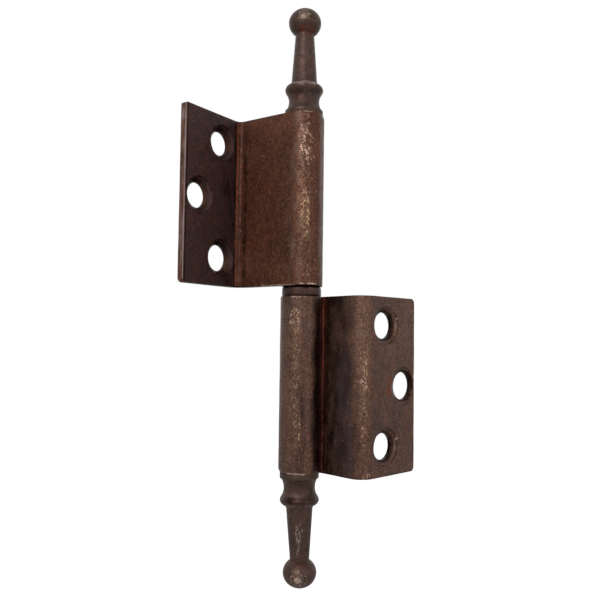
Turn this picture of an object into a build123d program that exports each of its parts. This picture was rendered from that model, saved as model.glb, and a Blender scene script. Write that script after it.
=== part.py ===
from build123d import *
import os
from dataclasses import dataclass
from math import acos, asin, cos, degrees, pi, sin

# Lift-off cranked hinge with a finial at each end of its barrels.
# Millimetres and degrees. Z is the hinge axis, and the origin lies on it, midway between the two barrels.
# Seen from above, the lower leaf's web runs along +X from the barrel and its screw plate along +Y.

# Sheet steel, rolled into the barrel at one end and bent into the crank at the other
sheet_thickness = 2.0
bend_inside_radius = 1.5
edge_radius = 0.25
plate_corner_radius = 1.1
leaf_height = 40.0

# Barrels. Each is filed to a taper round its finial end, and the lower one a little at the ring as well.
bore_radius = 2.8
seam_gap = 0.15
finial_end_taper_width = 0.44
finial_end_taper_height = 0.85
ring_end_taper_width = 0.25
ring_end_taper_height = 0.35

# Screw holes, countersunk at a right angle. The top and bottom ones are placed from the inside corner.
hole_radius = 3.0
countersink_depth = 1.1
hole_back_chamfer = 0.2
hole_from_corner = 6.0
hole_spacing = 27.0

# Each leaf's own sizes: hinge axis to the plate's inner face, inside corner to free edge, and the middle
# hole, which is placed from the free edge
lower_reach = 14.3
lower_plate_width = 16.5
lower_middle_hole_from_edge = 3.5
lower_middle_countersink_depth = 0.7
upper_reach = 15.5
upper_plate_width = 17.9
upper_middle_hole_from_edge = 4.6
upper_middle_countersink_depth = 1.1
upper_top_corner_radius = 0.6

# Where the upper leaf stands at rest, turned from the place right above the lower one
upper_leaf_angle = 190.5

# Bearing ring between the barrels
ring_radius = 4.5
ring_height = 2.3
ring_top_rounding = 0.65

# Hinge pin, pressed into the lower barrel and running in the ring and the upper barrel
running_clearance = 0.05
pin_seat_shoulder = 0.5
pin_end_gap = 1.0
pin_headroom = 8.0
pin_point_length = 1.2
pin_point_width = 0.8

# Finials, turned in one piece with the spigot that holds them in the barrel
spigot_length = 8.0
spigot_chamfer = 0.4
disc_radius = 4.45
disc_height = 1.3
disc_rounding = 0.35
cove_radius = 3.55
cove_middle = 2.0
cove_length = 3.6
cove_top_radius = 3.8
bead_radius = 4.44
bead_height = 2.4
foot_radius = 3.25
foot_height = 0.7
shaft_foot_radius = 3.0
shaft_top_radius = 2.18
shaft_length = 11.5
ball_radius = 3.81
ball_half_height = 3.41

# The lower finial has been knocked over a little. The direction is an angle from +X, seen from above.
lower_finial_lean = 0.9
lower_finial_leans_towards = 45.5

# Worked out from the sizes above
barrel_radius = bore_radius + sheet_thickness
running_radius = bore_radius - running_clearance

# How far a cutter stands clear of what it cuts, and how near to the hinge axis counts as on it
overshoot = 1.0
on_axis = 0.01


@dataclass(frozen=True)
class Taper:
    """What is filed off round one end of a barrel."""

    width: float
    height: float


@dataclass(frozen=True)
class Leaf:
    """The sizes that differ from one leaf to the other."""

    reach: float
    plate_width: float
    middle_hole_from_edge: float
    middle_countersink_depth: float
    top_corner_radius: float
    countersunk_outside: bool
    bottom_taper: Taper | None
    top_taper: Taper | None


finial_end = Taper(finial_end_taper_width, finial_end_taper_height)
ring_end = Taper(ring_end_taper_width, ring_end_taper_height)
lower = Leaf(
    lower_reach,
    lower_plate_width,
    lower_middle_hole_from_edge,
    lower_middle_countersink_depth,
    plate_corner_radius,
    countersunk_outside=True,
    bottom_taper=finial_end,
    top_taper=ring_end,
)
upper = Leaf(
    upper_reach,
    upper_plate_width,
    upper_middle_hole_from_edge,
    upper_middle_countersink_depth,
    upper_top_corner_radius,
    countersunk_outside=False,
    bottom_taper=None,
    top_taper=finial_end,
)


def leaf_section(leaf):
    """Section across a leaf, from the curled end round the barrel, along the web and out along the plate."""
    curl_end = degrees(asin((bore_radius - seam_gap) / barrel_radius))
    curl_sweep = 270 + curl_end
    outside = CenterArc((0, 0), barrel_radius, 90, curl_sweep)
    inside = CenterArc((0, 0), bore_radius, 90, curl_sweep)
    curl_face = Line(outside @ 1, inside @ 1)
    free_edge = barrel_radius + leaf.plate_width
    outer_face = leaf.reach + sheet_thickness
    crank = Polyline(
        outside @ 0,
        (leaf.reach, barrel_radius),
        (leaf.reach, free_edge),
        (outer_face, free_edge),
        (outer_face, bore_radius),
        inside @ 0,
    )
    section = make_face([outside, inside, curl_face, *crank.edges()])
    inside_corner = section.vertices().sort_by_distance((leaf.reach, barrel_radius))[0]
    section = fillet(inside_corner, bend_inside_radius)
    outside_corner = section.vertices().sort_by_distance((outer_face, bore_radius))[0]
    return fillet(outside_corner, bend_inside_radius + sheet_thickness)


def barrel_edges(solid):
    """The circular edges about the hinge axis, which lead on round the whole outline of the leaf."""
    arcs = solid.edges().filter_by(GeomType.CIRCLE)
    return arcs.filter_by(lambda arc: Vector(arc.arc_center.X, arc.arc_center.Y).length < on_axis)


def free_end_edges(solid):
    """The edges across the sheet at the free end of the plate, from the bottom up."""
    return solid.edges().filter_by(Axis.X).group_by(Axis.Y)[-1].sort_by(Axis.Z)


def filed_off(taper):
    """Cutter for a taper at z 0. Its cone is set over, so the taper runs out where the web starts."""
    set_over = taper.width / 2
    outer = barrel_radius + overshoot
    on_floor = (Align.CENTER, Align.CENTER, Align.MIN)
    around = Cylinder(outer, taper.height, align=on_floor)
    kept = Cone(barrel_radius - set_over, barrel_radius + set_over, taper.height, align=on_floor)
    web = Box(outer, outer, taper.height, align=(Align.MIN, Align.MIN, Align.MIN))
    return around - Pos(0, set_over, 0) * kept - Pos(0, bore_radius, 0) * web


def screw_hole(depth):
    """Cutter for one hole, countersunk to this depth. It points along +Z from the sunk face at z 0."""
    back = -sheet_thickness
    side = Polyline(
        (0, overshoot),
        (hole_radius + depth + overshoot, overshoot),
        (hole_radius, -depth),
        (hole_radius, back + hole_back_chamfer),
        (hole_radius + hole_back_chamfer + overshoot, back - overshoot),
        (0, back - overshoot),
        close=True,
    )
    return revolve(Plane.XZ * make_face(side.edges()), Axis.Z)


def screw_holes(leaf):
    """Two holes near the crank and one between them, further out: (out along the plate, up, depth)."""
    middle = leaf_height / 2
    near = barrel_radius + hole_from_corner
    far = barrel_radius + leaf.plate_width - leaf.middle_hole_from_edge
    return [
        (near, middle - hole_spacing / 2, countersink_depth),
        (far, middle, leaf.middle_countersink_depth),
        (near, middle + hole_spacing / 2, countersink_depth),
    ]


def leaf_solid(leaf):
    """One leaf, standing on z 0 with the hinge axis on Z."""
    solid = extrude(leaf_section(leaf), leaf_height)
    solid = fillet(free_end_edges(solid)[0], plate_corner_radius)
    solid = fillet(free_end_edges(solid)[-1], leaf.top_corner_radius)
    solid = fillet(barrel_edges(solid), edge_radius)
    if leaf.bottom_taper:
        solid -= filed_off(leaf.bottom_taper)
    if leaf.top_taper:
        solid -= Pos(0, 0, leaf_height) * mirror(filed_off(leaf.top_taper), about=Plane.XY)
    if leaf.countersunk_outside:
        face, outward = leaf.reach + sheet_thickness, (1, 0, 0)
    else:
        face, outward = leaf.reach, (-1, 0, 0)
    for out, up, depth in screw_holes(leaf):
        solid -= Plane(origin=(face, out, up), z_dir=outward) * screw_hole(depth)
    return solid


def lower_leaf():
    """The leaf under the bearing ring."""
    return Pos(0, 0, -ring_height / 2 - leaf_height) * leaf_solid(lower)


def upper_leaf():
    """The leaf above the bearing ring, swung to where it stands at rest."""
    return Rot(0, 0, upper_leaf_angle) * Pos(0, 0, ring_height / 2) * leaf_solid(upper)


def ball_side(neck_height):
    """Half outline of the slightly flattened ball, from the top of the shaft over to the tip."""
    neck_angle = -acos(shaft_top_radius / ball_radius)
    centre = neck_height - ball_half_height * sin(neck_angle)
    steps = 6
    angles = [neck_angle + (pi / 2 - neck_angle) * step / steps for step in range(steps)]
    points = [(ball_radius * cos(angle), centre + ball_half_height * sin(angle)) for angle in angles]
    leaving = (-ball_radius * sin(neck_angle), ball_half_height * cos(neck_angle))
    tip = (0, centre + ball_half_height)
    return Spline(*points, tip, tangents=[leaving, (-ball_radius, 0)], tangent_scalars=[1, 1])


def finial():
    """One turned finial, standing on the barrel's end at z 0 with its spigot below."""
    cove_start = disc_height
    cove_end = cove_start + cove_length
    bead_end = cove_end + bead_height
    shaft_start = bead_end + foot_height
    spigot = Polyline(
        (0, -spigot_length),
        (bore_radius - spigot_chamfer, -spigot_length),
        (bore_radius, -spigot_length + spigot_chamfer),
        (bore_radius, 0),
        (disc_radius, 0),
        (disc_radius, disc_height - disc_rounding),
    )
    disc_edge = CenterArc((disc_radius - disc_rounding, disc_height - disc_rounding), disc_rounding, 0, 90)
    cove = ThreePointArc(disc_edge @ 1, (cove_radius, cove_start + cove_middle), (cove_top_radius, cove_end))
    bead = ThreePointArc(
        (cove_top_radius, cove_end),
        (bead_radius, cove_end + bead_height / 2),
        (foot_radius, bead_end),
    )
    ball = ball_side(shaft_start + shaft_length)
    foot = Polyline((foot_radius, bead_end), (shaft_foot_radius, shaft_start), ball @ 0)
    axis = Line(ball @ 1, (0, -spigot_length))
    outline = [*spigot.edges(), disc_edge, cove, bead, *foot.edges(), ball, axis]
    return revolve(Plane.XZ * make_face(outline), Axis.Z)


def upper_finial():
    """The finial in the top end of the upper barrel."""
    return Pos(0, 0, ring_height / 2 + leaf_height) * finial()


def lower_finial():
    """The same finial in the bottom end of the lower barrel, where it leans."""
    leaning = Rot(0, 0, lower_finial_leans_towards) * Rot(0, -lower_finial_lean, 0) * Rot(180, 0, 0)
    return Pos(0, 0, -ring_height / 2 - leaf_height) * leaning * finial()


def hinge_pin():
    """The pin: its seat fills the lower barrel's bore, and the rest runs freely up to a coned point."""
    seat_top = -ring_height / 2 - pin_seat_shoulder
    foot = -ring_height / 2 - leaf_height + spigot_length + pin_end_gap
    tip = ring_height / 2 + leaf_height - spigot_length - pin_headroom
    side = Polyline(
        (0, foot),
        (bore_radius - spigot_chamfer, foot),
        (bore_radius, foot + spigot_chamfer),
        (bore_radius, seat_top),
        (running_radius, seat_top),
        (running_radius, tip - pin_point_length),
        (running_radius - pin_point_width, tip),
        (0, tip),
        close=True,
    )
    return revolve(Plane.XZ * make_face(side.edges()), Axis.Z)


def bearing_ring():
    """The ring that rests on the lower barrel and carries the upper one."""
    ring = Cylinder(ring_radius, ring_height, align=(Align.CENTER, Align.CENTER, Align.MIN))
    ring = fillet(ring.edges().sort_by(Axis.Z)[-1], ring_top_rounding)
    ring -= Cylinder(bore_radius, 2 * ring_height)
    return Pos(0, 0, -ring_height / 2) * ring


nodes = {
    "lower_leaf": lower_leaf,
    "upper_leaf": upper_leaf,
    "lower_finial": lower_finial,
    "upper_finial": upper_finial,
    "hinge_pin": hinge_pin,
    "bearing_ring": bearing_ring,
}

os.makedirs("parts", exist_ok=True)
for name, build in nodes.items():
    export_step(build(), f"parts/{name}.step")
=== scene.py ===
import logging
import math
from dataclasses import dataclass, field
from enum import Enum

import bmesh
import bpy
from bmesh.types import BMEdge, BMesh, BMFace, BMVert
from bpy.types import Material, Node, NodeSocket, NodeTree, Object, World
from mathutils import Matrix, Vector, noise


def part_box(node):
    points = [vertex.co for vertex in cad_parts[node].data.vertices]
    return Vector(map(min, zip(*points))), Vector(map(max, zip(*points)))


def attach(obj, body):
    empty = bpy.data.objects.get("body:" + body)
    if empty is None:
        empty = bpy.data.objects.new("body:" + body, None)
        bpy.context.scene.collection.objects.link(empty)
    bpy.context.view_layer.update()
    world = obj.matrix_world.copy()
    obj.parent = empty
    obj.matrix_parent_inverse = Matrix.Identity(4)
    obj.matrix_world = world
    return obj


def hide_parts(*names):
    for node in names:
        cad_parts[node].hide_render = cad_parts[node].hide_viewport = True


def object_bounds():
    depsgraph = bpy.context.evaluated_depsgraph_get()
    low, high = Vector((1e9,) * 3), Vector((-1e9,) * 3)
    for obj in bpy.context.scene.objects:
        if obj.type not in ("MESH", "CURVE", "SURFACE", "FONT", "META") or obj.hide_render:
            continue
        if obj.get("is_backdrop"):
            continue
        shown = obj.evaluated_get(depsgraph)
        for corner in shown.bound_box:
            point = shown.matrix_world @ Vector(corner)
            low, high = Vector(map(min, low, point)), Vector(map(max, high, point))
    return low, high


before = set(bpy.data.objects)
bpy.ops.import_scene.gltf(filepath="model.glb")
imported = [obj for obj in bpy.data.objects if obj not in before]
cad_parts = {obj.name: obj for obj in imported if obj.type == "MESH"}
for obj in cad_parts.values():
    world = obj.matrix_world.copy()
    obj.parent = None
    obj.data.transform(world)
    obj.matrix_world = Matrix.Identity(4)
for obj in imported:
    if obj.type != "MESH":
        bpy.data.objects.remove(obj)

# A lift-off cranked hinge of browned steel: two folded leaves, two turned finials, a ring and a pin.
# Sizes are in millimetres in the dataclasses and in metres in Blender.

MM = 0.001
PHOTO_PIXELS = 600
# The faces of the rounded edges, which carry dark oxide and painted shade.
EDGE_ATTRIBUTE = "edge_rounding"
log = logging.getLogger("cranked_hinge")

# How far points may lie off the line or plane that they belong to, and how near two points are one.
ON_LINE = 0.01
SAME_POINT = 1e-4

# How the upper leaf, and the side that faces the camera, are turned about the hinge axis, in degrees.
UPPER_LEAF_TURN = 190.5
FACING_TURN = 45.5
# The lower finial has been knocked over by this many degrees, towards the right of the photograph.
LOWER_FINIAL_LEAN = 0.9

# A noise keeps between about 0.25 and 0.75, and nearly all of it between these levels.
MIDDLE_LEVELS = (0.3, 0.7)
# Inside a spot a mark's noise is lifted, and what then stands above this level is marked.
MARK_LEVEL = 0.80
# Under this much cover a mark thins out to nothing.
THIN_COVER = 0.25
# Bare steel: how metallic it is, and how much smoother than the oxide round it.
BARE_METALLIC = 0.95
BARE_POLISH = 0.12
# The rounded edges' own pattern, and how far a mark's strokes are shifted from its specks.
EDGE_SEED = 57.0
STROKE_SHIFT = 71.0

Pair = tuple[float, float]
Triple = tuple[float, float, float]
Colour = tuple[float, float, float, float]
# What a node's input can be given.
Feed = float | Triple | Colour | Node | NodeSocket


def linear(hex_colour: str) -> Colour:
    """Turns an sRGB hex colour into Blender's linear colour.

    Args:
        hex_colour: six hex digits, with no mark in front.

    Returns:
        Linear red, green, blue and an alpha of one.
    """
    parts = [int(hex_colour[start : start + 2], 16) / 255 for start in (0, 2, 4)]
    red, green, blue = (p / 12.92 if p <= 0.04045 else ((p + 0.055) / 1.055) ** 2.4 for p in parts)
    return red, green, blue, 1.0


def add_node(
    tree: NodeTree, kind: str, inputs: dict[int | str, Feed] | None = None, **settings: object
) -> Node:
    """Adds one node with its settings, and fills or links its inputs.

    Args:
        tree: node tree that gets the node.
        kind: the node's Blender type name.
        inputs: input name or index to a value, to the output that feeds it, or to the node that feeds it
            with the first output that it has in use.
        settings: the node's own properties.

    Returns:
        The new node.
    """
    node = tree.nodes.new(kind)
    for name, value in settings.items():
        setattr(node, name, value)
    for name, value in (inputs or {}).items():
        if isinstance(value, Node):
            value = next(output for output in value.outputs if output.enabled)
        if isinstance(value, NodeSocket):
            tree.links.new(value, node.inputs[name])
        else:
            node.inputs[name].default_value = value
    return node


class Mark(Enum):
    """What time and handling have done to the patina in one place, together with the painted highlights,
    reflections and shade that some marks carry.
    """

    SCRATCHED = "scratched"
    SPECKLED = "speckled"
    GILT = "gilt"
    GLINT_AND_BARE_EDGE = "bare_edge"
    RUST = "rust"
    RED = "red"
    SOOT_AND_SHADE = "soot"
    BLUED = "blued"
    GREY_REFLECTION = "grey"
    BURNISH_AND_HIGHLIGHT = "burnished"
    BRASSY = "brassy"
    PALE = "pale"
    SEAM_RUST = "seam_rust"


@dataclass(frozen=True)
class MarkLook:
    """How one kind of mark looks.

    Grain is the size of its specks in millimetres, and stretch draws them out along the piece. Fill says how
    closely they stand in the middle of a spot: 0.5 is solid and 0.2 is single specks. Sheen says how far its
    shine takes the mark's own colour, as bare metal's does. Stroke is the width of the scratches that it is
    drawn with, as a share of the noise that they are the level lines of, or 0. Real specks and scratches are
    mostly under 0.1 mm, and are drawn as coarse as they need to show.
    """

    tone: str
    grain: float
    stretch: float
    softness: float
    fill: float
    sheen: float
    stroke: float = 0.0


MARK_LOOKS = {
    # Fresh scratches through the oxide show pinkish bare steel in short strokes.
    Mark.SCRATCHED: MarkLook("c6a38e", 1.0, 1.4, 0.22, fill=0.31, sheen=0.5, stroke=0.05),
    # Tiny rubbed high points of the rough surface.
    Mark.SPECKLED: MarkLook("8f7963", 0.40, 1.2, 0.22, fill=0.22, sheen=0.4),
    # Where a hand has rubbed for years, the oxide is thinned to a brassy film.
    Mark.GILT: MarkLook("684c33", 0.55, 1.5, 0.50, fill=0.36, sheen=0.2),
    # Painted glints and highlights on rims and corners, which are also rubbed down to dull steel, with a
    # break here and there.
    Mark.GLINT_AND_BARE_EDGE: MarkLook("a68d81", 0.9, 1.0, 0.30, fill=0.42, sheen=0.6),
    # Orange rust sits where damp stayed.
    Mark.RUST: MarkLook("663420", 0.7, 2.0, 0.60, fill=0.42, sheen=0.7),
    # A redder, thinner bloom of rust.
    Mark.RED: MarkLook("552a20", 1.6, 1.0, 0.60, fill=0.35, sheen=0.5),
    # The oldest oxide is nearly black, with a purple cast. The same mark is also painted shade in joints,
    # creases and hollows.
    Mark.SOOT_AND_SHADE: MarkLook("21140f", 2.4, 2.8, 0.70, fill=0.5, sheen=0.9),
    # Smooth mill scale that has kept its dark plum colour.
    Mark.BLUED: MarkLook("35272a", 2.0, 1.0, 0.80, fill=0.5, sheen=0.2),
    # A painted grey reflection of the white surroundings on rims and shoulders, in the tone of an oiled
    # film.
    Mark.GREY_REFLECTION: MarkLook("5c4a3f", 1.2, 3.0, 0.50, fill=0.5, sheen=0.1),
    # A painted highlight along arrises and shoulders, over steel rubbed grey.
    Mark.BURNISH_AND_HIGHLIGHT: MarkLook("8b7873", 1.2, 4.0, 0.60, fill=0.46, sheen=0.5),
    # Older scratches have a brassy film again.
    Mark.BRASSY: MarkLook("b08c68", 0.9, 1.8, 0.22, fill=0.33, sheen=0.5, stroke=0.05),
    # Scratches on the turned pieces are pale and run along them.
    Mark.PALE: MarkLook("9c8a84", 0.8, 2.6, 0.25, fill=0.36, sheen=0.5, stroke=0.07),
    # Dry red rust that is packed into the seam.
    Mark.SEAM_RUST: MarkLook("9c5044", 0.6, 3.0, 0.50, fill=0.46, sheen=0.2),
}


@dataclass(frozen=True)
class Spot:
    """A soft-edged place on a piece that carries a mark.

    Centre and reach are in millimetres in the piece's own frame. Cover is how much of the middle is marked,
    from 0 to 1, and it fades from the share of the reach given by core.
    """

    mark: Mark
    centre: Triple
    reach: Triple
    cover: float
    core: float = 0.2

    @property
    def seed(self) -> float:
        """Shift of the mark's pattern here, which follows from the place."""
        return self.centre[2] + self.centre[0]


@dataclass(frozen=True)
class Patina:
    """Browned mild steel, oiled and left to age: brown oxide over dark scale, thinned where it was handled.

    Cloud, mottle and grain are the sizes in millimetres of the three sorts of unevenness, and mottling and
    graining say how strong the last two are. Clouds are as wide as a finger's rub, and mottle is as wide as
    the blotches that browning leaves. The oxide's real grain is about 0.1 mm, too fine to show, so it is
    drawn about four times as coarse. Bump is the height of the relief in millimetres, and edge is the mark
    that a leaf's rounded edges carry.
    """

    name: str
    ground: str
    shade: str
    warm: str
    cloud: float = 9.0
    mottle: float = 1.6
    grain: float = 0.45
    warm_share: float = 0.3
    mottling: float = 0.16
    graining: float = 0.42
    metallic: float = 0.55
    specular: float = 0.35
    roughness: float = 0.46
    bump: float = 0.07
    # By default the rounded edges carry dark oxide, which also paints shade on them.
    edge: Mark = Mark.SOOT_AND_SHADE
    edge_cover: float = 0.6


@dataclass(frozen=True)
class OwnFrame:
    """Where a piece's own frame lies: its turn about the hinge axis in degrees, and its zero's height."""

    turn: float = 0.0
    foot: float = 0.0


@dataclass
class PatinaMaterial:
    """Builds the node material for one patinated piece: an even ground, then one mark after another."""

    finish: Patina
    place: OwnFrame
    spots: tuple[Spot, ...] = ()
    tree: NodeTree = field(init=False)
    point: Node = field(init=False)

    def build(self) -> Material:
        """Makes the material.

        Returns:
            The finished material.
        """
        material = bpy.data.materials.new(self.finish.name)
        material.use_nodes = True
        self.tree = material.node_tree
        self.tree.nodes.clear()
        self.point = self.own_point()
        colour = self.ground_colour()
        bare: Feed = 0.0
        for spot in self.spots:
            colour, bare = self.marked(colour, bare, MARK_LOOKS[spot.mark], self.spot_cover(spot), spot.seed)
        look = MARK_LOOKS[self.finish.edge]
        colour, bare = self.marked(colour, bare, look, self.edge_cover(), EDGE_SEED)
        metallic = add_node(
            self.tree,
            "ShaderNodeMapRange",
            {"Value": bare, "To Min": self.finish.metallic, "To Max": BARE_METALLIC},
            interpolation_type="SMOOTHSTEP",
        )
        shader = add_node(
            self.tree,
            "ShaderNodeBsdfPrincipled",
            {
                "Base Color": colour,
                "Metallic": metallic,
                "Roughness": self.roughness(bare),
                "Specular IOR Level": self.finish.specular,
                "Normal": self.bump(),
            },
        )
        add_node(self.tree, "ShaderNodeOutputMaterial", {"Surface": shader})
        return material

    def own_point(self) -> Node:
        """Finds the shaded point in the piece's own frame.

        Returns:
            The node that gives the point in millimetres.
        """
        coordinates = add_node(self.tree, "ShaderNodeTexCoord")
        return add_node(
            self.tree,
            "ShaderNodeMapping",
            {
                "Vector": coordinates.outputs["Object"],
                "Scale": (1 / MM,) * 3,
                "Rotation": (0.0, 0.0, -math.radians(self.place.turn)),
                "Location": (0.0, 0.0, -self.place.foot),
            },
            vector_type="POINT",
        )

    def lumps(self, size: float, detail: float, stretch: float = 1.0, seed: float = 0.0) -> Node:
        """Draws lumps all over the piece, as a cloud of noise.

        Args:
            size: size of the lumps in millimetres.
            detail: how many finer layers they have.
            stretch: how many times longer they are along the hinge axis.
            seed: shifts the pattern, so that no two layers match.

        Returns:
            The node that gives values round one half.
        """
        drawn = add_node(
            self.tree,
            "ShaderNodeMapping",
            {
                "Vector": self.point,
                "Scale": (1 / size, 1 / size, 1 / (size * stretch)),
                "Location": (seed, seed * 0.7, seed * 1.3),
            },
        )
        return add_node(
            self.tree,
            "ShaderNodeTexNoise",
            {"Vector": drawn, "Scale": 1.0, "Detail": detail, "Roughness": 0.55},
        )

    def uneven(self, values: Pair, levels: Pair, **cloud: float) -> Node:
        """Draws lumps that swing softly between two values.

        Args:
            values: the value in the hollows of the lumps, and the one on their heights.
            levels: the levels of the lumps between which the value changes.
            cloud: the size, detail, stretch and seed of the lumps.

        Returns:
            The node that gives the values.
        """
        return add_node(
            self.tree,
            "ShaderNodeMapRange",
            {
                "Value": self.lumps(**cloud),
                "From Min": levels[0],
                "From Max": levels[1],
                "To Min": values[0],
                "To Max": values[1],
            },
            interpolation_type="SMOOTHSTEP",
        )

    def ground_colour(self) -> Node:
        """Mixes the even patina: clouds of shade and warmth, and a fine mottle like fingered wax.

        Returns:
            The node that gives the colour.
        """
        finish = self.finish
        warm_cloud = finish.cloud * 0.6
        clouds = self.uneven((0.0, 1.0), (0.38, 0.64), size=finish.cloud, detail=4.0, stretch=1.4, seed=3.0)
        warmth = self.uneven(
            (0.0, finish.warm_share), (0.42, 0.62), size=warm_cloud, detail=5.0, stretch=1.6, seed=11.0
        )
        mottle = self.uneven(
            (1 - finish.mottling, 1 + finish.mottling),
            MIDDLE_LEVELS,
            size=finish.mottle,
            detail=4.0,
            stretch=1.5,
            seed=23.0,
        )
        grain = self.uneven(
            (1 - finish.graining, 1 + finish.graining),
            MIDDLE_LEVELS,
            size=finish.grain,
            detail=2.0,
            stretch=1.2,
            seed=31.0,
        )
        shaded = add_node(
            self.tree,
            "ShaderNodeMix",
            {0: clouds, 6: linear(finish.shade), 7: linear(finish.ground)},
            data_type="RGBA",
        )
        warmed = add_node(
            self.tree, "ShaderNodeMix", {0: warmth, 6: shaded, 7: linear(finish.warm)}, data_type="RGBA"
        )
        light = add_node(self.tree, "ShaderNodeMath", {0: mottle, 1: grain}, operation="MULTIPLY")
        return add_node(self.tree, "ShaderNodeVectorMath", {0: warmed, "Scale": light}, operation="SCALE")

    def spot_cover(self, spot: Spot) -> Node:
        """Measures how strongly a spot covers a point, fading from its core to its reach.

        Args:
            spot: the spot.

        Returns:
            The node that gives the cover.
        """
        away = add_node(
            self.tree, "ShaderNodeVectorMath", {0: self.point, 1: spot.centre}, operation="SUBTRACT"
        )
        share = add_node(self.tree, "ShaderNodeVectorMath", {0: away, 1: spot.reach}, operation="DIVIDE")
        length = add_node(self.tree, "ShaderNodeVectorMath", {0: share}, operation="LENGTH")
        return add_node(
            self.tree,
            "ShaderNodeMapRange",
            {"Value": length, "From Min": spot.core, "To Min": spot.cover, "To Max": 0.0},
            interpolation_type="SMOOTHSTEP",
        )

    def edge_cover(self) -> Node:
        """Measures the cover on the rounded edges, which a leaf's mesh marks on its faces.

        Returns:
            The node that gives the cover.
        """
        rounding_mark = add_node(
            self.tree, "ShaderNodeAttribute", attribute_name=EDGE_ATTRIBUTE, attribute_type="GEOMETRY"
        )
        inputs = {0: rounding_mark.outputs["Fac"], 1: self.finish.edge_cover}
        return add_node(self.tree, "ShaderNodeMath", inputs, operation="MULTIPLY")

    def marked(
        self, colour: Node, bare: Feed, look: MarkLook, cover: Node, seed: float
    ) -> tuple[Node, Node]:
        """Lays one mark over the patina, broken up by its own grain.

        Args:
            colour: the colour so far.
            bare: how bare the metal is so far.
            look: the mark's look.
            cover: how strongly it covers each point.
            seed: shift of its pattern.

        Returns:
            The colour and the bareness with the mark on them.
        """
        grain = self.lumps(size=look.grain, detail=4.0, stretch=look.stretch, seed=seed)
        lift = add_node(self.tree, "ShaderNodeMath", {0: cover, 1: look.fill}, operation="MULTIPLY")
        lifted = add_node(self.tree, "ShaderNodeMath", {0: grain, 1: lift}, operation="ADD")
        low, high = MARK_LEVEL - look.softness / 2, MARK_LEVEL + look.softness / 2
        specks = add_node(
            self.tree,
            "ShaderNodeMapRange",
            {"Value": lifted, "From Min": low, "From Max": high},
            interpolation_type="SMOOTHSTEP",
        )
        thinned = add_node(
            self.tree,
            "ShaderNodeMapRange",
            {"Value": cover, "From Max": THIN_COVER},
            interpolation_type="SMOOTHSTEP",
        )
        share = add_node(self.tree, "ShaderNodeMath", {0: specks, 1: thinned}, operation="MULTIPLY")
        if look.stroke:
            lines = self.strokes(look, seed)
            share = add_node(self.tree, "ShaderNodeMath", {0: share, 1: lines}, operation="MULTIPLY")
        toned = add_node(
            self.tree, "ShaderNodeMix", {0: share, 6: colour, 7: linear(look.tone)}, data_type="RGBA"
        )
        shine = add_node(self.tree, "ShaderNodeMath", {0: share, 1: look.sheen}, operation="MULTIPLY")
        barer = add_node(self.tree, "ShaderNodeMath", {0: bare, 1: shine}, operation="MAXIMUM")
        return toned, barer

    def strokes(self, look: MarkLook, seed: float) -> Node:
        """Draws a tangle of fine lines: the level lines of a noise, with soft edges.

        Args:
            look: the mark that is drawn with them.
            seed: shift of the mark's pattern.

        Returns:
            The node that gives one on the lines and nothing between them.
        """
        spacing = look.grain * 0.7
        tangle = self.lumps(size=spacing, detail=2.0, stretch=look.stretch, seed=seed + STROKE_SHIFT)
        level = add_node(self.tree, "ShaderNodeMath", {0: tangle, 1: 0.5}, operation="SUBTRACT")
        away = add_node(self.tree, "ShaderNodeMath", {0: level}, operation="ABSOLUTE")
        core = look.stroke * 0.25
        return add_node(
            self.tree,
            "ShaderNodeMapRange",
            {"Value": away, "From Min": core, "From Max": look.stroke, "To Min": 1.0, "To Max": 0.0},
            interpolation_type="SMOOTHSTEP",
        )

    def roughness(self, bare: Node) -> Node:
        """Works out the roughness: uneven on the oxide, smoother on bare metal.

        Args:
            bare: how bare the metal is.

        Returns:
            The node that gives the roughness.
        """
        uneven = self.uneven((-0.08, 0.10), MIDDLE_LEVELS, size=self.finish.mottle, detail=3.0, seed=41.0)
        oxide = add_node(
            self.tree, "ShaderNodeMath", {0: uneven, 1: self.finish.roughness}, operation="ADD"
        )
        polish = add_node(self.tree, "ShaderNodeMath", {0: bare, 1: BARE_POLISH}, operation="MULTIPLY")
        return add_node(self.tree, "ShaderNodeMath", {0: oxide, 1: polish}, operation="SUBTRACT")

    def bump(self) -> Node:
        """Raises the small relief: soft hammered waves, a fine tooth, and pits left by rust.

        The real tooth and pits are two or three times finer, and are drawn as coarse as they need to show.

        Returns:
            The node that gives the surface's normal.
        """
        waves = self.lumps(size=4.5, detail=2.0, stretch=1.2, seed=5.0)
        tooth = self.lumps(size=0.55, detail=3.0, stretch=1.2, seed=13.0)
        pits = self.uneven((0.0, 1.0), (0.28, 0.42), size=0.6, detail=3.0, seed=17.0)
        toothed = add_node(self.tree, "ShaderNodeMath", {0: tooth, 1: 0.9}, operation="MULTIPLY")
        pitted = add_node(self.tree, "ShaderNodeMath", {0: pits, 1: 0.4}, operation="MULTIPLY")
        fine = add_node(self.tree, "ShaderNodeMath", {0: toothed, 1: pitted}, operation="ADD")
        height = add_node(self.tree, "ShaderNodeMath", {0: waves, 1: fine}, operation="ADD")
        return add_node(
            self.tree,
            "ShaderNodeBump",
            {"Height": height, "Distance": self.finish.bump * MM, "Strength": 1.0},
        )


def spun(mesh: BMesh, edge: BMEdge, centre: Triple, angle: float, steps: int) -> BMEdge:
    """Sweeps an upright edge round a centre.

    Args:
        mesh: the mesh that is drawn.
        edge: its last edge.
        centre: the centre.
        angle: the angle in radians, counted from X to Y.
        steps: number of flat pieces.

    Returns:
        The edge where the sweep ends.
    """
    made = bmesh.ops.spin(
        mesh,
        geom=[edge, *edge.verts],
        cent=centre,
        axis=(0, 0, 1),
        angle=angle,
        steps=steps,
        use_merge=False,
    )
    return next(item for item in made["geom_last"] if isinstance(item, BMEdge))


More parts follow.
